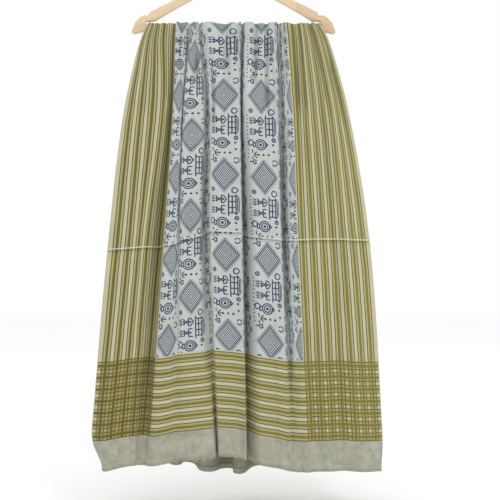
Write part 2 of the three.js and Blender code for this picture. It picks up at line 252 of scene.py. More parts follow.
def at_level(values, down):
    """A smooth curve through values at the four levels, straight on past the last."""
    last = len(LEVELS) - 1
    slope = [(values[min(last, i + 1)] - values[max(0, i - 1)])
             / (LEVELS[min(last, i + 1)] - LEVELS[max(0, i - 1)]) for i in range(last + 1)]
    if down >= LEVELS[last]:
        return values[last] + slope[last] * (down - LEVELS[last])
    i = max(0, int(np.searchsorted(LEVELS, down, side="left")) - 1)
    span = LEVELS[i + 1] - LEVELS[i]
    return hermite(values[i], values[i + 1], slope[i] * span, slope[i + 1] * span,
                   (down - LEVELS[i]) / span)


def round_off(knots, values, across):
    """A curve through the fold lines that is level at each turn and never overshoots."""
    steps = np.diff(values) / np.diff(knots)
    product = steps[:-1] * steps[1:]
    total = np.where(steps[:-1] + steps[1:] == 0, 1, steps[:-1] + steps[1:])
    inner = np.where(product > 0, 2 * product / total, 0)
    slopes = np.concatenate([steps[:1], inner, steps[-1:]])
    i = np.clip(np.searchsorted(knots, across, side="left") - 1, 0, len(knots) - 2)
    span = knots[i + 1] - knots[i]
    t = (across - knots[i]) / span
    return hermite(values[i], values[i + 1], slopes[i] * span, slopes[i + 1] * span, t), i, t


def front_lines(down):
    return [(kind, u, sag, at_level(x, down), at_level(out, down))
            for kind, u, sag, x, out in FRONT_FOLDS]


def back_lines(down):
    left = at_level(BACK_LEFT_EDGE, down)
    right = at_level(BACK_RIGHT_EDGE, down)
    return [(kind, u, sag, left + (right - left) * u / CUT_WIDTH + shift, at_level(out, down))
            for kind, u, sag, shift, out in BACK_FOLDS]


def across_folds(lines, across):
    """x, out and sag of the cloth at distances across the cut, from its fold lines."""
    kinds = [line[0] for line in lines]
    knots, sags, xs, outs = (np.array([line[n] for line in lines], float) for n in (1, 2, 3, 4))
    x, i, t = round_off(knots, xs, across)
    out = round_off(knots, outs, across)[0]
    sag = round_off(knots, sags, across)[0]
    turns = np.array([{a, b} == {"ridge", "deep"} for a, b in zip(kinds, kinds[1:])])
    run = np.diff(xs)
    swing = np.minimum(1, np.diff(knots) / np.abs(run) - 1) * turns * run
    x = x + swing[i] * np.sin(2 * math.pi * t) / (2 * math.pi)
    return x, out, sag


def gather_height(across, down):
    wander = GATHER_WANDER * np.sin(2 * math.pi * across / GATHER_WANDER_PITCH)
    turn = 2 * math.pi * (across / GATHER_PITCH + wander)
    least_reach, most_reach = GATHER_REACH
    share = 0.5 + 0.5 * np.sin(across / GATHER_REACH_TURN)
    reach = least_reach + (most_reach - least_reach) * share
    return GATHER_DEPTH * (1 - np.cos(turn)) * (1 - smooth(down / reach))


# Creases across the front, in mm: the sharp one pressed for storage, which runs lower
# towards the left edge and dips once, and fainter ones, whose bend says how much lower
# the crease runs at each of five places across the cut.
PRESSED_DOWN = 440
PRESSED_LEFT = (130, 330, 19)
PRESSED_DIP = (400, 110, 6)
PRESSED_HEIGHT = 3.2
PRESSED_WIDTH = 2.4
PRESSED_GROOVE = 3.0
GROOVE_BELOW = 5.5
GROOVE_WIDTH = 2.6
FINE_ROWS = (430, 475)
STRETCH_ROWS = (8, 45, 23, 42)
CREASE_FADE = 40
CREASE_WAVES = (23, 57)
CREASES = (
    # down, from, to, half width, depth, bend
    (520, 780, 925, 4.5, 0.7, (0, 2, 3, 2, 0)),
    (410, 30, 140, 4.0, 0.6, (0, 0, 1, 1, 0)),
    (545, 20, 120, 4.5, 0.6, (0, -2, -2, 0, 0)),
    (610, 790, 884, 6.0, 0.6, (0, 1, 2, 3, 3)),
    (330, 810, 900, 6.0, 0.6, (8, 5, 2, -3, -8)),
    (700, 60, 150, 6.0, 0.5, (0, 2, 3, 3, 4)),
)
PLEAT_FADE = (40, 70)
PLEATS = (
    # across, half width, depth, from, to: narrow grooves where the bar gathers the cloth,
    # and a pressed line that runs down into the front hem
    (13, 5, 3.5, 40, 130),
    (50, 5, 4.5, 0, 150),
    (72, 4, 4.0, 0, 60),
    (93, 5, 5.0, 0, 130),
    (186, 4, 5.0, 0, 60),
    (263, 5, 10.0, 45, 105),
    (286, 4, 10.0, 0, 60),
    (312, 4, 7.0, 50, 170),
    (362, 4, 9.0, 50, 180),
    (391, 4, 12.0, 0, 60),
    (409, 3, 5.0, 0, 60),
    (563, 4, 12.0, 0, 80),
    (588, 4, 13.0, 0, 140),
    (600, 3, 5.0, 50, 140),
    (640, 4, 5.0, 0, 90),
    (787, 4, 8.0, 0, 140),
    (811, 4, 7.0, 0, 150),
    (868, 5, 7.0, 0, 140),
    (914, 5, 5.0, 50, 160),
    (584, 3, 2.5, 560, 990),
)
RIPPLES_FROM = 40
RIPPLES_GROW = 160
RIPPLES = (
    # pitch across, pitch down, lean, height: slow unevenness of soft cloth
    (88, 260, 0.35, 0.9),
    (61, 170, -0.22, 0.6),
    (37, 420, 0.12, 0.35),
)


def small_relief(across, down):
    near, far, lower = PRESSED_LEFT
    middle, reach, rise = PRESSED_DIP
    pressed = PRESSED_DOWN + lower * np.clip((far - across) / (far - near), 0, 1)
    past = down - pressed + rise * np.exp(-((across - middle) / reach) ** 2)
    height = PRESSED_HEIGHT * np.exp(-(past / PRESSED_WIDTH) ** 2)
    height -= PRESSED_GROOVE * np.exp(-((past - GROOVE_BELOW) / GROOVE_WIDTH) ** 2)
    short_wave, long_wave = CREASE_WAVES
    for level, start, end, half_width, depth, bend in CREASES:
        line = level + np.interp(across, np.linspace(start, end, len(bend)), bend)
        fade = smooth((across - start) / CREASE_FADE) * smooth((end - across) / CREASE_FADE)
        uneven = 0.75 + 0.25 * np.sin(across / short_wave + level) * np.sin(across / long_wave)
        height += depth * uneven * fade * np.exp(-((down - line) / half_width) ** 2)
    grown = smooth((down - RIPPLES_FROM) / RIPPLES_GROW)
    for number, (pitch, fall_pitch, lean, size) in enumerate(RIPPLES):
        phase = 2 * math.pi * ((across + lean * down) / pitch) + number
        fall_phase = 2 * math.pi * down / fall_pitch + 2.1 * number
        height += grown * size * np.sin(phase) * np.sin(fall_phase)
    for line, half_width, depth, start, end in PLEATS:
        along = smooth((down - start) / PLEAT_FADE[0] + (start <= 0))
        along = along * (1 - smooth((down - end) / PLEAT_FADE[1]))
        height -= depth * along * np.exp(-((across - line) / half_width) ** 2)
    return height


def cloth_points(side_name, across, along, lift=0.0):
    """Points of a fall for distances across the cut and down from the bar, in mm. The
    way down is below zero round the crown, and lift moves them out of the cloth."""
    side = -1 if side_name == "front" else 1
    lines_at = front_lines if side_name == "front" else back_lines
    drop = DROP[side_name]
    points = np.zeros((len(along), len(across), 3))
    bar_x, bar_out, _ = across_folds(front_lines(0), across)
    for row, way in enumerate(along):
        down = max(0.0, way)
        x, out, sag = across_folds(lines_at(down), across)
        free = 1.0 if side < 0 else float(smooth(down / BACK_FREE_BELOW))
        out = bar_out + (out - bar_out) * free + gather_height(across, down)
        relief = small_relief(across, np.full_like(across, down))
        out = np.maximum(out + relief, BAR_CLEAR_RADIUS) + lift
        flare = down / EDGE_FLARE_DOWN * math.exp(1 - down / EDGE_FLARE_DOWN)
        off_middle = 2 * across / CUT_WIDTH - 1
        x = bar_x + (x - bar_x) * free + EDGE_FLARE * flare * off_middle ** EDGE_FLARE_POWER
        low = float(smooth((down - drop + CORNER_CURL_HEIGHT) / CORNER_CURL_HEIGHT)) ** 2
        curl = np.where(across < CUT_WIDTH / 2, CORNER_CURL[0], -CORNER_CURL[1])
        x = x + curl * low * off_middle ** CORNER_CURL_POWER
        if way >= 0:
            y = side * out
            z = BAR_HEIGHT - down - sag * down / drop
        else:
            turn = math.pi / 2 * (1 + way / CROWN_LENGTH)
            rise = BAR_CLEAR_RADIUS + CROWN_RISE * (out - BAR_CLEAR_RADIUS)
            y = side * out * math.sin(turn)
            z = BAR_HEIGHT + rise * math.cos(turn)
        points[row] = np.stack([x, np.broadcast_to(y, x.shape), z], axis=1)
    return points


def fall_stops(foot):
    """Rows round the crown, down the fall, and closer together at the pressed crease."""
    ends = (-CROWN_LENGTH, 0, *FINE_ROWS, foot)
    stretches = [np.linspace(*span, rows) for *span, rows in zip(ends, ends[1:], STRETCH_ROWS)]
    return np.concatenate([*(stretch[:-1] for stretch in stretches[:-1]), stretches[-1]])


def sheet_mesh(name, across, along, points_at, print_place, flip):
    """A grid laid on the points, with its UV map in metres on the flat cloth."""
    rows, columns = len(along), len(across)
    grid = bmesh.new()
    bmesh.ops.create_grid(grid, x_segments=columns - 1, y_segments=rows - 1, size=0.5)
    if flip:
        bmesh.ops.reverse_faces(grid, faces=grid.faces)
    mesh = bpy.data.meshes.new(name)
    grid.to_mesh(mesh)
    grid.free()
    flat = np.zeros(len(mesh.vertices) * 3, np.float32)
    mesh.vertices.foreach_get("co", flat)
    flat = flat.reshape(-1, 3)
    column = np.rint((flat[:, 0] + 0.5) * (columns - 1)).astype(int)
    row = np.rint((flat[:, 1] + 0.5) * (rows - 1)).astype(int)
    placed = points_at(across, along)[row, column] * MM
    mesh.vertices.foreach_set("co", placed.astype(np.float32).ravel())
    corner = np.zeros(len(mesh.loops), np.int32)
    mesh.loops.foreach_get("vertex_index", corner)
    uv = np.stack([across[column[corner]], print_place(along[row[corner]])], axis=1) * MM
    mesh.uv_layers.new(name="flat_cloth").data.foreach_set("uv", uv.astype(np.float32).ravel())
    mesh.polygons.foreach_set("use_smooth", np.ones(len(mesh.polygons), bool))
    mesh.update()
    return mesh


# The print, in mm on the flat cloth. Olive stripes run up both side borders and across
# a band at each end, where they cross in a check. Between them dark blue figures, in
# the manner of village wall painting, lie on their sides in columns, three to a repeat.
SELVEDGE = 9
BAND_EDGE = 1.5
STRIPE_PITCH = 23.3
STRIPE_REPEATS = 7
THICK_STRIPE = 5.6
THIN_STRIPE = 2.3
BLED_WIDTH = 13
BLED_SOFTNESS = 1.2
LINE_SOFTNESS = 0.3
BAND_MARGIN = 0.5
THIN_OFFSET = 7.35
BAND_WIDTH = STRIPE_PITCH * (STRIPE_REPEATS - 1) + 2 * THIN_OFFSET + THIN_STRIPE
PLAIN_END = 59
PRINT_MARGIN = 3
COLUMN_WIDTH = 64
COLUMNS_START = 160.0
REPEAT_LENGTH = 168
REPEAT_START = 81.0
INK_WIDTH = 2.45

# A comb diamond: half its size in mm, then widths and places as shares of that size.
DIAMOND = (25, 32)
DIAMOND_RINGS = 6
RING_WIDTH = 0.042
RING_SOFTNESS = 0.012
RINGS_WITHIN = 0.96
RIM = 0.97
RIM_WIDTH = 0.05
TEETH_PER_SIDE = 10
TOOTH_WIDTH = 0.042
TEETH_MIDDLE = 1.11
TEETH_REACH = 0.12
SHARP = 0.01

# Figures in mm from their own centre: first up the figure, which is to the right on
# the hanging cloth, then sideways. Mirrored ones give one half only.
FIGURE_SHIFT = 50
BODY = (((-2.5, 0), (-2.5, 3.4)), ((-2.5, 3.4), (2.5, 0.3)), ((2.5, 0.3), (6.5, 4)),
        ((6.5, 0), (6.5, 4)))
HEAD = ((10, 0), 2.3)
RAISED_ARMS = (((6.5, 4), (6.8, 8)), ((6.8, 8), (13.5, 8)))
JOINED_ARMS = (((6.5, 4), (6.8, 8)), ((6.8, 8), (11, 7.4)), ((11, 7.4), (16, 0)))
LEG = (((-2.5, 0), (-6.5, 3.2)), ((-6.5, 3.2), (-10.5, -1)), ((-10.5, -1), (-15, 3)))
LEG_PITCH = 5
LEGS_HALF_WIDTH = 6.0
PEOPLE_PITCH = 22
HUT = (((0, 0), (0, 22.5)), ((6.2, 0), (6.2, 17)), ((12.4, 0), (12.4, 20.5)),
       ((0, 6), (12.4, 6)), ((0, 17.5), (12.4, 17.5)), ((12.4, 20.5), (19, 13)),
       ((19, 13), (20, 0)), ((16, 0), (15.6, 12)))
POT = (((6.8, 8.6), (14.5, 0)), ((-10, 3), (-15.5, 5)), ((-15.5, 0), (-15.5, 5)))
LEAF = (((-6, 0), (-1, 0)), ((-1, 0), (3, 5)), ((3, 5), (7, 3)), ((7, 3), (5, 0)))
CUP = (((-4, 3), (-1, 6)), ((-1, 6), (4, 4)), ((4, 4), (7, 0)), ((-4, 0), (-4, 3)))
SUN = (((4, 2), (9, 6)), ((4, 0), (10, 0)), ((0, 4), (0, 10)), ((2, 4), (5, 9)), ((-3, 3), (-6, 7)))
TREE = (((-22, 0), (20, 0)), ((-8, 0), (0, 8)), ((-2, 0), (6, 9)), ((4, 0), (12, 9)),
        ((10, 0), (17, 7)), ((-22, 0), (-26, 5)))
FRUIT = (((0, 9), 1.9), ((6, 10), 1.9), ((12, 10), 1.9), ((18, 7), 1.9))
CATTLE = (((9, 10), (3, 0)), ((-1, 10), (3, 0)), ((9, 10), (-1, 10)), ((-1, 10), (-10, 11)),
          ((-1, 6.5), (-10, 5.5)))
CATTLE_HEAD = (((9, 10), (14, 14)), ((14, 14), (19, 11)), ((14, 14), (18, 18)),
               ((9, -10), (2, -14)))

# What stands between the comb diamonds, where the repeat runs from -132 to 36: mirrored
# figures with their centres, circles and spots with centre and radius, and a row of dots.
DIAMONDS_FROM = -132
DIAMOND_PEOPLE = (-12, -63)
DIAMOND_FIGURES = (
    (HUT, (8, -63)), (POT, (-4, -101)), (CUP, (18, -33)), (LEAF, (-22, 31)),
    (CUP[:3], (22, 30)), (SUN[:3], (-22, -122)), (CUP, (-25, -97)),
)
DIAMOND_HOOPS = (((-4, -101), 10.6), ((-4, -101), 6.6), ((-23, -31), 3.6), ((22, -91), 3.6))
DIAMOND_SPOTS = (
    ((-4, -101), 3.0), ((-9, -122), 2.3), ((1, -122), 2.3), ((11, -122), 2.3),
    ((20, -101), 2.3), ((21, -115), 2.3), ((-23, -31), 1.6), ((22, -91), 1.6),
)
DOT_PITCH = 8
DOT = ((-31, DIAMONDS_FROM + DOT_PITCH / 2), 1.5)
DOTS_TO = -40.0

# The third column, where the repeat runs from 0 to 168.
RINGS_UP = -6
RINGS_MIDDLE = 24
RINGS_HALF_LENGTH = 23
RING_PITCH = 12
RING_SWELL = 6
COLUMN_PEOPLE = (-6, 143)
TREE_CENTRE = (2, 66)
CATTLE_CENTRE = (-9, 96)
SUN_CENTRE = (14, 120)
COLUMN_FIGURES = ((TREE, TREE_CENTRE), (CATTLE, CATTLE_CENTRE), (SUN, SUN_CENTRE))
DISCS = ((15, 8), (22, 20), (13, 30), (20, 44), (-22, 60), (-22, 112))
COLUMN_HOOPS = ((SUN_CENTRE, 3.6), *((place, 4.4) for place in DISCS))
COLUMN_SPOTS = (
    *(((RINGS_UP, middle), 2.4) for middle in (6, 18, 30, 42)),
    *((place, 1.8) for place in DISCS),
)


def stroke(tree, point, start, end):
    """Distance from a printed line."""
    run = (end[0] - start[0], end[1] - start[1], 0)
    size = run[0] ** 2 + run[1] ** 2
    offset = node(tree, "VectorMath.SUBTRACT", point, (*start, 0))
    share = node(tree, "VectorMath.DOT_PRODUCT", offset, (run[0] / size, run[1] / size, 0))
    reached = node(tree, "VectorMath.SCALE", run, node(tree, "Clamp", share))
    return node(tree, "VectorMath.DISTANCE", offset, reached)


def spot(tree, point, centre, radius):
    """Distance from a printed spot, counted as from a line of the usual width."""
    away = node(tree, "VectorMath.DISTANCE", point, (*centre, 0))
    return node(tree, "Math.SUBTRACT", away, radius - INK_WIDTH / 2)


def hoop(tree, point, centre, radius):
    """Distance from a printed circle."""
    away = node(tree, "VectorMath.DISTANCE", point, (*centre, 0))
    return node(tree, "Math.ABSOLUTE", node(tree, "Math.SUBTRACT", away, radius))


def least(tree, distances):
    nearest = distances[0]
    for distance in distances[1:]:
        nearest = node(tree, "Math.MINIMUM", nearest, distance)
    return nearest


def halved(tree, point, centre):
    """Place measured from a figure's middle line, so that half of it draws the whole."""
    moved = node(tree, "VectorMath.SUBTRACT", point, (centre[0] - FIGURE_SHIFT, centre[1], 0))
    folded = node(tree, "VectorMath.ABSOLUTE", moved)
    return node(tree, "VectorMath.SUBTRACT", folded, (FIGURE_SHIFT, 0, 0))


def figures_drawn(tree, point, figures, hoops, spots):
    """Distances from mirrored figures, circles and spots."""
    drawn = []
    for lines, centre in figures:
        half = halved(tree, point, centre)
        drawn += [stroke(tree, half, *line) for line in lines]
    drawn += [hoop(tree, point, *ring) for ring in hoops]
    return drawn + [spot(tree, point, *dot) for dot in spots]


def pair_of_people(tree, point, centre):
    """Distance from two people side by side, one with raised and one with joined arms."""
    apart = PEOPLE_PITCH / 2
    near = halved(tree, point, centre)
    up, off, _ = node(tree, "SeparateXYZ", near).node.outputs
    off_own = node(tree, "Math.ABSOLUTE", node(tree, "Math.SUBTRACT", off, apart))
    own = node(tree, "CombineXYZ", up, off_own)
    step = wrapped(tree, off, apart - LEG_PITCH / 2, LEG_PITCH)
    leg = node(tree, "CombineXYZ", up, node(tree, "Math.SUBTRACT", step, apart))
    legs = least(tree, [stroke(tree, leg, *line) for line in LEG])
    past_legs = node(tree, "Math.SUBTRACT", off_own, LEGS_HALF_WIDTH)
    drawn = [node(tree, "Math.MAXIMUM", legs, past_legs), spot(tree, own, *HEAD)]
    drawn += [stroke(tree, own, *line) for line in BODY]
    for arms, place in zip((RAISED_ARMS, JOINED_ARMS), (centre[1] - apart, centre[1] + apart)):
        person = halved(tree, point, (centre[0], place))
        drawn += [stroke(tree, person, *line) for line in arms]
    return least(tree, drawn)


def inked(tree, distance, half_width, softness=LINE_SOFTNESS):
    """1 on the line and 0 off it, with a soft printed edge."""
    return node(tree, "MapRange", distance, half_width + softness, half_width - softness, 0.0, 1.0)


def wrapped(tree, value, start, period):
    """Carries a place back into one repeat that begins at start."""
    return node(tree, "Math.WRAP", value, start + period, start)


def comb_diamond(tree, up, sideways):
    """Ink of nested diamonds with a comb of short teeth round the outer one."""
    a = node(tree, "Math.MULTIPLY", node(tree, "Math.ABSOLUTE", up), 1 / DIAMOND[0])
    b = node(tree, "Math.MULTIPLY", node(tree, "Math.ABSOLUTE", sideways), 1 / DIAMOND[1])
    size = node(tree, "Math.ADD", a, b)
    nested = node(tree, "Math.PINGPONG", size, 0.5 / DIAMOND_RINGS)
    lines = inked(tree, nested, RING_WIDTH, RING_SOFTNESS)
    rings = node(tree, "Math.MULTIPLY", lines, inked(tree, size, RINGS_WITHIN, SHARP))
    off_rim = node(tree, "Math.ABSOLUTE", node(tree, "Math.SUBTRACT", size, RIM))
    tooth = node(tree, "Math.PINGPONG", node(tree, "Math.SUBTRACT", a, b), 1 / TEETH_PER_SIDE)
    off_teeth = node(tree, "Math.ABSOLUTE", node(tree, "Math.SUBTRACT", size, TEETH_MIDDLE))
    teeth = inked(tree, tooth, TOOTH_WIDTH, SHARP)
    comb = node(tree, "Math.MULTIPLY", teeth, inked(tree, off_teeth, TEETH_REACH, SHARP))
    whole = node(tree, "Math.MAXIMUM", rings, comb)
    return node(tree, "Math.MAXIMUM", whole, inked(tree, off_rim, RIM_WIDTH, SHARP))


def diamond_column(tree, up, sideways):
    """A column of comb diamonds with two people, a hut, a pot and spots between them."""
    q = wrapped(tree, sideways, DIAMONDS_FROM, REPEAT_LENGTH)
    point = node(tree, "CombineXYZ", up, q)
    drawn = [pair_of_people(tree, point, DIAMOND_PEOPLE)]
    drawn += figures_drawn(tree, point, DIAMOND_FIGURES, DIAMOND_HOOPS, DIAMOND_SPOTS)
    in_row = node(tree, "CombineXYZ", up, wrapped(tree, q, DIAMONDS_FROM, DOT_PITCH))
    past_row = node(tree, "Math.SUBTRACT", q, DOTS_TO)
    drawn += [node(tree, "Math.MAXIMUM", spot(tree, in_row, *DOT), past_row)]
    figures = inked(tree, least(tree, drawn), INK_WIDTH / 2)
    return node(tree, "Math.MAXIMUM", figures, comb_diamond(tree, up, q))


def linked_rings(tree, up, q):
    """Distance from a row of linked rings."""
    wave = node(tree, "Math.SINE", node(tree, "Math.MULTIPLY", q, math.pi / RING_PITCH))
    swell = node(tree, "Math.MULTIPLY", node(tree, "Math.ABSOLUTE", wave), float(RING_SWELL))
    off_line = node(tree, "Math.ABSOLUTE", node(tree, "Math.SUBTRACT", up, float(RINGS_UP)))
    ring = node(tree, "Math.ABSOLUTE", node(tree, "Math.SUBTRACT", off_line, swell))
    along = node(tree, "Math.ABSOLUTE", node(tree, "Math.SUBTRACT", q, float(RINGS_MIDDLE)))
    past_end = node(tree, "Math.SUBTRACT", along, float(RINGS_HALF_LENGTH))
    return node(tree, "Math.MAXIMUM", ring, past_end)


def people_column(tree, up, sideways):
    """A column of linked rings, a tree, horned cattle, a sun, people and small discs."""
    q = wrapped(tree, sideways, 0, REPEAT_LENGTH)
    point = node(tree, "CombineXYZ", up, q)
    drawn = [linked_rings(tree, up, q), pair_of_people(tree, point, COLUMN_PEOPLE)]
    drawn += figures_drawn(tree, point, COLUMN_FIGURES, COLUMN_HOOPS, COLUMN_SPOTS)
    plant = halved(tree, point, TREE_CENTRE)
    drawn += [spot(tree, plant, *fruit) for fruit in FRUIT]
    head = node(tree, "VectorMath.SUBTRACT", point, (*CATTLE_CENTRE, 0))
    drawn += [stroke(tree, head, *line) for line in CATTLE_HEAD]
    return inked(tree, least(tree, drawn), INK_WIDTH / 2)


def stripe_ink(tree, from_edge, start):
    """One family of stripes, a thick line between two thin ones seven times: the thick
    and thin ink, the ochre that bled round the thick lines, and the band they fill."""
    place = node(tree, "Math.SUBTRACT", from_edge, start + THIN_STRIPE / 2)
    phase = wrapped(tree, place, -THIN_OFFSET / 2, STRIPE_PITCH)
    off = node(tree, "Math.ABSOLUTE", node(tree, "Math.SUBTRACT", phase, THIN_OFFSET))
    off_thin = node(tree, "Math.ABSOLUTE", node(tree, "Math.SUBTRACT", off, THIN_OFFSET))
    from_middle = node(tree, "Math.SUBTRACT", from_edge, start + BAND_WIDTH / 2)
    band = inked(tree, node(tree, "Math.ABSOLUTE", from_middle), BAND_WIDTH / 2 + BAND_MARGIN)
    thick = inked(tree, off, THICK_STRIPE / 2)
    thin = inked(tree, off_thin, THIN_STRIPE / 2)
    bled = inked(tree, off, BLED_WIDTH / 2, BLED_SOFTNESS)
    return [node(tree, "Math.MULTIPLY", ink, band) for ink in (thick, thin, bled)] + [band]


def from_nearer_edge(tree, place, size):
    return node(tree, "Math.MINIMUM", place, node(tree, "Math.SUBTRACT", float(size), place))


# Plain weave cotton, washed and block printed: it is matt, with a short fuzz that
# lightens it at grazing angles. The ink lies a little uneven, as a block leaves it.
# Along the pressed crease a pale line is painted on as a highlight, which also stands for
# ink rubbed thin there, and a dark line below it is painted shadow in the groove. The
# check and the olive ink are painted darker towards the left edge, as shade.
GROUND = "#BAC1BC"
BORDER_GROUND = "#BBB998"
PLAIN_PALE = "#B0AF9D"
PLAIN_DULL = "#969687"
OLIVE_INK = "#777237"
# Painted shade: the olive ink as drawn at the left edge, darker there.
LEFT_SHADED_OLIVE_INK = "#635C2A"
BLUE_INK = "#18184D"
THIN_INK = "#5F5734"
BLED_OCHRE = "#A0985F"
BLED_STRENGTH = 0.7
# Painted highlight along the front's pressed crease, partly ink rubbed thin, and painted shadow in
# the groove just below it.
CREASE_WEAR_AND_HIGHLIGHT = "#E4E2D2"
CREASE_WEAR_AND_HIGHLIGHT_STRENGTH = 0.6
CREASE_WEAR_AND_HIGHLIGHT_WIDTH = 1.1
CREASE_WEAR_AND_HIGHLIGHT_SOFTNESS = 0.7
CREASE_SHADOW_BELOW = 3.8
CREASE_SHADOW_WIDTH = 1.2
CREASE_SHADOW_SOFTNESS = 0.8
CREASE_SHADOW_DARKNESS = 0.68
CROSSED_SHADE = 0.88
WORN_COVER = 0.84
TONES = (0.95, 1.03)
PRINT_DRIFT = 1.6
# Painted shade: from the second of these places across to the first, the check and the olive ink
# turn darker towards the left edge.
LEFT_SHADE_ACROSS = (130.0, 260.0)
CHECK_TINT = "#FDF9E8"
# Painted shade: the darker tint of the check at the left edge.
LEFT_SHADED_CHECK_TINT = "#D8CEB0"
THREAD_PITCH_MM = 0.7
SHEEN_WEIGHT = 0.12
SHEEN_ROUGHNESS = 0.5
THREAD_LIGHT = "#D8D4C2"
THREAD_SHADE = "#A9A48E"


def past_pressed_crease(tree, across, along):
    """How far below the pressed crease of the front a place lies, in mm."""
    near, far, lower = PRESSED_LEFT
    middle, reach, rise = PRESSED_DIP
    ramp = node(tree, "MapRange", across, float(near), float(far), float(lower), 0.0)
    apart = node(tree, "Math.MULTIPLY_ADD", across, 1 / reach, -middle / reach)
    dip = node(tree, "Math.POWER", 1 / math.e, node(tree, "Math.MULTIPLY", apart, apart))
    line = node(tree, "Math.SUBTRACT", ramp, node(tree, "Math.MULTIPLY", dip, float(rise)))
    down = node(tree, "Math.SUBTRACT", float(DROP["front"] - PRESSED_DOWN), along)
    return node(tree, "Math.SUBTRACT", down, line)


def printed_cotton(name, ink_strength, ground_shade):
    made, tree, shader = new_material(name)
    in_mm = node(tree, "VectorMath.SCALE", node(tree, "UVMap.flat_cloth"), 1000.0)
    drift = node(tree, "TexNoise", in_mm, Scale=0.02, Detail=2.0).node.outputs["Color"]
    shift = node(tree, "VectorMath.SUBTRACT", drift, (0.5, 0.5, 0.5))
    shift = node(tree, "VectorMath.SCALE", shift, PRINT_DRIFT)
    printed = node(tree, "VectorMath.ADD", in_mm, shift)
    across, along, _ = node(tree, "SeparateXYZ", printed).node.outputs
    side = from_nearer_edge(tree, across, CUT_WIDTH)
    end = from_nearer_edge(tree, along, CUT_LENGTH)
    past_plain = node(tree, "Math.GREATER_THAN", end, float(PLAIN_END))
    off_edge = node(tree, "Math.GREATER_THAN", side, BAND_EDGE)
    side_inks = [node(tree, "Math.MULTIPLY", ink, past_plain)
                 for ink in stripe_ink(tree, side, SELVEDGE)]
    end_inks = [node(tree, "Math.MULTIPLY", ink, off_edge)
                for ink in stripe_ink(tree, end, PLAIN_END)]
    thick, thin, bled = [node(tree, "Math.MAXIMUM", *pair)
                         for pair in zip(side_inks[:3], end_inks[:3])]
    crossed = node(tree, "Math.MULTIPLY", side_inks[0], end_inks[0])
    check = node(tree, "Math.MULTIPLY", side_inks[3], end_inks[3])

    in_centre = node(tree, "Math.GREATER_THAN", side, SELVEDGE + BAND_WIDTH + PRINT_MARGIN)
    in_length = node(tree, "Math.GREATER_THAN", end, PLAIN_END + BAND_WIDTH + PRINT_MARGIN)
    in_column = wrapped(tree, across, COLUMNS_START, COLUMN_WIDTH)
    up = node(tree, "Math.SUBTRACT", in_column, COLUMNS_START + COLUMN_WIDTH / 2)
    in_repeat = wrapped(tree, across, COLUMNS_START, 3 * COLUMN_WIDTH)
    second = node(tree, "Math.GREATER_THAN", in_repeat, COLUMNS_START + COLUMN_WIDTH)
    third = node(tree, "Math.GREATER_THAN", in_repeat, COLUMNS_START + 2 * COLUMN_WIDTH)
    placed = node(tree, "Math.SUBTRACT", along, REPEAT_START)
    drop = node(tree, "Math.MULTIPLY", second, REPEAT_LENGTH / 2)
    dropped = node(tree, "Math.SUBTRACT", placed, drop)
    diamonds = diamond_column(tree, up, dropped)
    figures = node(tree, "Mix.FLOAT", third, diamonds, people_column(tree, up, placed))
    centre = node(tree, "Math.MULTIPLY", in_centre, in_length)
    blue = node(tree, "Math.MULTIPLY", figures, centre)

    blotch = node(tree, "TexNoise", in_mm, Scale=0.35, Detail=3.0, Roughness=0.6)
    cover = node(tree, "MapRange", blotch, 0.3, 0.7, WORN_COVER * ink_strength, ink_strength)
    cloud = node(tree, "TexNoise", in_mm, Scale=0.012, Detail=2.0)
    tone = node(tree, "MapRange", cloud, 0.3, 0.7, *[tone * ground_shade for tone in TONES])
    base = node(tree, "Mix.RGBA", centre, linear(BORDER_GROUND), linear(GROUND))
    patch = node(tree, "TexNoise", in_mm, Scale=0.045, Detail=5.0, Roughness=0.7)
    patchy = node(tree, "MapRange", patch, 0.36, 0.64)
    plain = node(tree, "Mix.RGBA", patchy, linear(PLAIN_DULL), linear(PLAIN_PALE))
    base = node(tree, "Mix.RGBA", past_plain, plain, base)
    # Painted shade: the left side of the cloth is drawn darker in the check and the olive ink.
    left_shade = node(tree, "MapRange", across, *LEFT_SHADE_ACROSS, 1.0, 0.0)
    check_tint_and_left_shade = node(tree, "Mix.RGBA", left_shade, linear(CHECK_TINT), linear(LEFT_SHADED_CHECK_TINT))
    check_tint_and_left_shade = node(tree, "Mix.RGBA", check, (1.0, 1.0, 1.0, 1.0), check_tint_and_left_shade)
    base = node(tree, "VectorMath.MULTIPLY", node(tree, "VectorMath.SCALE", base, tone), check_tint_and_left_shade)
    bled = node(tree, "Math.MULTIPLY", bled, BLED_STRENGTH)
    base = node(tree, "Mix.RGBA", bled, base, linear(BLED_OCHRE))
    base = node(tree, "Mix.RGBA", node(tree, "Math.MULTIPLY", thin, cover), base, linear(THIN_INK))
    olive_ink_with_left_shade = node(tree, "Mix.RGBA", left_shade, linear(OLIVE_INK), linear(LEFT_SHADED_OLIVE_INK))
    base = node(tree, "Mix.RGBA", node(tree, "Math.MULTIPLY", thick, cover), base, olive_ink_with_left_shade)
    shade = node(tree, "MapRange", crossed, 0.0, 1.0, 1.0, CROSSED_SHADE)
    base = node(tree, "VectorMath.SCALE", base, shade)
    base = node(tree, "Mix.RGBA", node(tree, "Math.MULTIPLY", blue, cover), base, linear(BLUE_INK))
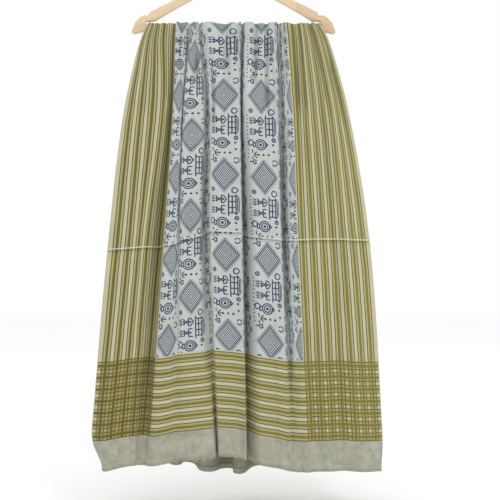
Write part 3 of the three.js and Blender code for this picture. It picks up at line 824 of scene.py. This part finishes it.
    # Painted highlight and shadow at the pressed crease: a pale line along it, partly ink rubbed
    # thin, and a dark line of painted shadow in the groove just below.
    past = past_pressed_crease(tree, across, along)
    crease_wear_and_highlight = inked(tree, node(tree, "Math.ABSOLUTE", past), CREASE_WEAR_AND_HIGHLIGHT_WIDTH, CREASE_WEAR_AND_HIGHLIGHT_SOFTNESS)
    crease_wear_and_highlight = node(tree, "Math.MULTIPLY", crease_wear_and_highlight, CREASE_WEAR_AND_HIGHLIGHT_STRENGTH)
    base = node(tree, "Mix.RGBA", crease_wear_and_highlight, base, linear(CREASE_WEAR_AND_HIGHLIGHT))
    off_crease_shadow = node(tree, "Math.ABSOLUTE", node(tree, "Math.SUBTRACT", past, CREASE_SHADOW_BELOW))
    crease_shadow = inked(tree, off_crease_shadow, CREASE_SHADOW_WIDTH, CREASE_SHADOW_SOFTNESS)
    shade = node(tree, "MapRange", crease_shadow, 0.0, 1.0, 1.0, CREASE_SHADOW_DARKNESS)
    base = node(tree, "VectorMath.SCALE", base, shade)
    tree.links.new(base, shader.inputs["Base Color"])

    turns = node(tree, "VectorMath.SCALE", in_mm, 2 * math.pi / THREAD_PITCH_MM)
    over, under, _ = node(tree, "SeparateXYZ", node(tree, "VectorMath.SINE", turns)).node.outputs
    threads = node(tree, "Math.MULTIPLY", over, under)
    weave = node(tree, "Bump", Strength=0.25, Distance=0.0002, Height=threads)
    crinkle = node(tree, "TexNoise", in_mm, Scale=0.16, Detail=4.0, Roughness=0.62)
    bump = node(tree, "Bump", Strength=0.5, Distance=0.0018, Height=crinkle, Normal=weave)
    tree.links.new(bump, shader.inputs["Normal"])
    shader.inputs["Roughness"].default_value = 0.92
    shader.inputs["Specular IOR Level"].default_value = 0.12
    shader.inputs["Sheen Weight"].default_value = SHEEN_WEIGHT
    shader.inputs["Sheen Roughness"].default_value = SHEEN_ROUGHNESS
    return made


def sewing_thread():
    made, tree, shader = new_material("sewing_thread")
    lint = node(tree, "TexNoise", object_place(tree), Scale=900.0, Detail=2.0)
    tint = node(tree, "Mix.RGBA", lint, linear(THREAD_SHADE), linear(THREAD_LIGHT))
    tree.links.new(tint, shader.inputs["Base Color"])
    twist = node(tree, "Bump", Strength=0.6, Distance=0.0001, Height=lint)
    tree.links.new(twist, shader.inputs["Normal"])
    shader.inputs["Roughness"].default_value = 0.85
    return made


face_cotton = printed_cotton("block_printed_cotton", 1.0, 1.0)
reverse_cotton = printed_cotton("cotton_reverse", 0.5, 0.93)
thread = sewing_thread()
ACROSS_STOPS = np.linspace(0, CUT_WIDTH, 411)


def print_place(side_name):
    """Turns a way down one fall into a place along the whole cut, from the front hem."""
    if side_name == "front":
        return lambda along: DROP["front"] - along
    return lambda along: CUT_LENGTH - DROP["back"] + along


# Each end of the cut is turned under twice and caught with running stitches. In front
# the fold of the hem is worn through in a few places, where short threads hang out.
HEM_TURN = (
    # past the foot of the fall, lift out of the cloth
    (0, 0), (0.5, -0.15), (0.75, -0.6), (0.5, -1.05), (0, -1.2),
    (-10, -1.2), (-10.3, -1.5), (-9, -1.7),
)
HEM_THICKNESS = 0.4
STITCH_ABOVE_FOOT = 8
STITCH_PITCH = 5.2
STITCH_LENGTH = 3.0
THREAD_RADIUS = 0.32
FRAY_RADIUS = 0.22
FRAY_SEED = 11
FRAY_SHORTEST = 0.35
FRAY_DRIFT = 0.6
FRAY_CURL = 0.9
FRAY_ROOT = 0.8
FRAYS = (
    # across from, to, number, longest
    (252, 290, 46, 8),
    (188, 206, 9, 4),
    (344, 392, 20, 5),
    (598, 640, 10, 3),
)


def hem_points(side_name, across):
    rows = [cloth_points(side_name, across, [DROP[side_name] + past], lift)[0]
            for past, lift in HEM_TURN]
    return np.stack(rows)


def thread_piece(name, paths, radius):
    """Lengths of round thread through points in mm, as one piece."""
    curve = bpy.data.curves.new(name, "CURVE")
    curve.dimensions = "3D"
    curve.bevel_depth = radius * MM
    curve.bevel_resolution = 1
    curve.use_fill_caps = True
    for path in paths:
        spline = curve.splines.new("POLY")
        spline.points.add(len(path) - 1)
        spline.points.foreach_set("co", np.column_stack([path * MM, np.ones(len(path))]).ravel())
    curve.materials.append(thread)
    return new_object(name, curve)


def stitch_paths(side_name):
    starts = np.arange(4, CUT_WIDTH - 6, STITCH_PITCH)
    level = [DROP[side_name] - STITCH_ABOVE_FOOT]
    steps = ((0, 0.2), (0.25, 0.5), (0.75, 0.5), (1, 0.2))
    rows = [cloth_points(side_name, starts + part * STITCH_LENGTH, level, lift)[0]
            for part, lift in steps]
    return np.stack(rows, axis=1)


def fray_paths(random):
    for start, end, number, longest in FRAYS:
        roots = cloth_points("front", random.uniform(start, end, number), [DROP["front"]], -0.4)[0]
        for root in roots:
            length = longest * random.uniform(FRAY_SHORTEST, 1)
            drift = random.uniform(-FRAY_DRIFT, FRAY_DRIFT, 2)
            curl = random.uniform(-FRAY_CURL, FRAY_CURL)
            t = np.linspace(0, 1, 6)
            sideways = length * (drift[0] * t ** 2 + 0.2 * curl * np.sin(5 * t))
            outward = length * (drift[1] * t ** 2 + 0.15 * curl * np.cos(4 * t) - 0.15 * curl)
            yield root + np.column_stack([sideways, outward, FRAY_ROOT - length * t])


for side_name in ("front", "back"):
    hem_way = [0.0, *np.cumsum([math.dist(a, b) for a, b in zip(HEM_TURN, HEM_TURN[1:])])]
    mesh = sheet_mesh(
        f"hem_turn_{side_name}", ACROSS_STOPS, np.array(hem_way),
        lambda across, along: hem_points(side_name, across),
        lambda along: print_place(side_name)(along + DROP[side_name]), side_name == "front")
    mesh.materials.append(face_cotton)
    hem = new_object(f"hem_turn_{side_name}", mesh)
    fold = hem.modifiers.new("thickness", "SOLIDIFY")
    fold.thickness = HEM_THICKNESS * MM
    fold.offset = 0
    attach(hem, "root")
    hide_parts(f"hem_{side_name}")
    trimmings = [hem, thread_piece(f"stitches_{side_name}", stitch_paths(side_name), THREAD_RADIUS)]
    if side_name == "front":
        frays = list(fray_paths(np.random.default_rng(FRAY_SEED)))
        trimmings.append(thread_piece("frayed_threads", frays, FRAY_RADIUS))
    for piece in trimmings[1:]:
        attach(piece, "root")
    mesh = sheet_mesh(
        f"cloth_{side_name}", ACROSS_STOPS, fall_stops(DROP[side_name]),
        lambda across, along: cloth_points(side_name, across, along),
        print_place(side_name), side_name == "front")
    mesh.materials.append(face_cotton)
    mesh.materials.append(reverse_cotton)
    piece = new_object(f"cloth_{side_name}", mesh)
    shell = piece.modifiers.new("thickness", "SOLIDIFY")
    shell.thickness = CLOTH_THICKNESS * MM
    shell.offset = 0
    shell.material_offset = 1
    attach(piece, "root")
    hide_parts(f"sarong_{side_name}")


# The hanger: pale wood under a satin varnish, its grain running along each arm and
# along the bar, with a glued joint near the end of the right arm, and a steel hook.
WOOD_LIGHT = "#DDC8A6"
WOOD_DARK = "#BF9C70"
BEYOND_JOINT = 0.3
GLUE_SHADE = 0.62
GRAIN_LENGTH = 0.04
ARM_SLOPE = 28
JOINT_X = 134
STEEL_LIGHT = "#D5D6D8"
STEEL_DARK = "#C3C5C9"


def varnished_wood(name, slope):
    made, tree, shader = new_material(name)
    x, y, z = node(tree, "SeparateXYZ", object_place(tree)).node.outputs
    turn = math.radians(slope)
    side = node(tree, "Math.ABSOLUTE", x)
    along = node(tree, "Math.SUBTRACT", node(tree, "Math.MULTIPLY", side, math.cos(turn)),
                 node(tree, "Math.MULTIPLY", z, math.sin(turn)))
    over = node(tree, "Math.ADD", node(tree, "Math.MULTIPLY", side, math.sin(turn)),
                node(tree, "Math.MULTIPLY", z, math.cos(turn)))
    drawn_out = node(tree, "CombineXYZ", node(tree, "Math.MULTIPLY", along, GRAIN_LENGTH), y, over)
    grain = node(tree, "TexNoise", drawn_out, Scale=260.0, Detail=4.0, Roughness=0.6,
                 Distortion=0.4)
    pores = node(tree, "TexNoise", drawn_out, Scale=1400.0, Detail=2.0)
    beyond = node(tree, "Math.GREATER_THAN", x, JOINT_X * MM)
    tone = node(tree, "MapRange", grain, 0.3, 0.7, 0.0, 0.55)
    tone = node(tree, "Math.ADD", tone, node(tree, "Math.MULTIPLY", beyond, BEYOND_JOINT))
    tone = node(tree, "Math.ADD", tone, node(tree, "MapRange", pores, 0.62, 0.72, 0.0, 0.25))
    colour = node(tree, "Mix.RGBA", node(tree, "Clamp", tone), linear(WOOD_LIGHT),
                  linear(WOOD_DARK))
    off_joint = node(tree, "Math.ABSOLUTE", node(tree, "Math.SUBTRACT", x, JOINT_X * MM))
    glue = node(tree, "MapRange", off_joint, 0.0003, 0.0007, GLUE_SHADE, 1.0)
    tree.links.new(node(tree, "VectorMath.SCALE", colour, glue), shader.inputs["Base Color"])
    bump = node(tree, "Bump", Strength=0.15, Distance=0.0002, Height=grain)
    tree.links.new(bump, shader.inputs["Normal"])
    tree.links.new(node(tree, "MapRange", pores, 0.3, 0.7, 0.34, 0.48), shader.inputs["Roughness"])
    shader.inputs["Coat Weight"].default_value = 0.35
    shader.inputs["Coat Roughness"].default_value = 0.18
    return made


def plated_steel():
    made, tree, shader = new_material("plated_steel")
    cloudy = node(tree, "TexNoise", object_place(tree), Scale=120.0, Detail=3.0)
    tree.links.new(node(tree, "MapRange", cloudy, 0.3, 0.7, 0.16, 0.3), shader.inputs["Roughness"])
    colour = node(tree, "Mix.RGBA", cloudy, linear(STEEL_LIGHT), linear(STEEL_DARK))
    tree.links.new(colour, shader.inputs["Base Color"])
    shader.inputs["Metallic"].default_value = 1.0
    return made


finishes = {
    "hanger_shoulder": varnished_wood("arm_wood", ARM_SLOPE),
    "hanger_bar": varnished_wood("bar_wood", 0),
    "hanger_hook": plated_steel(),
}
for name, finish in finishes.items():
    for material_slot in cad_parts[name].material_slots:
        material_slot.material = finish
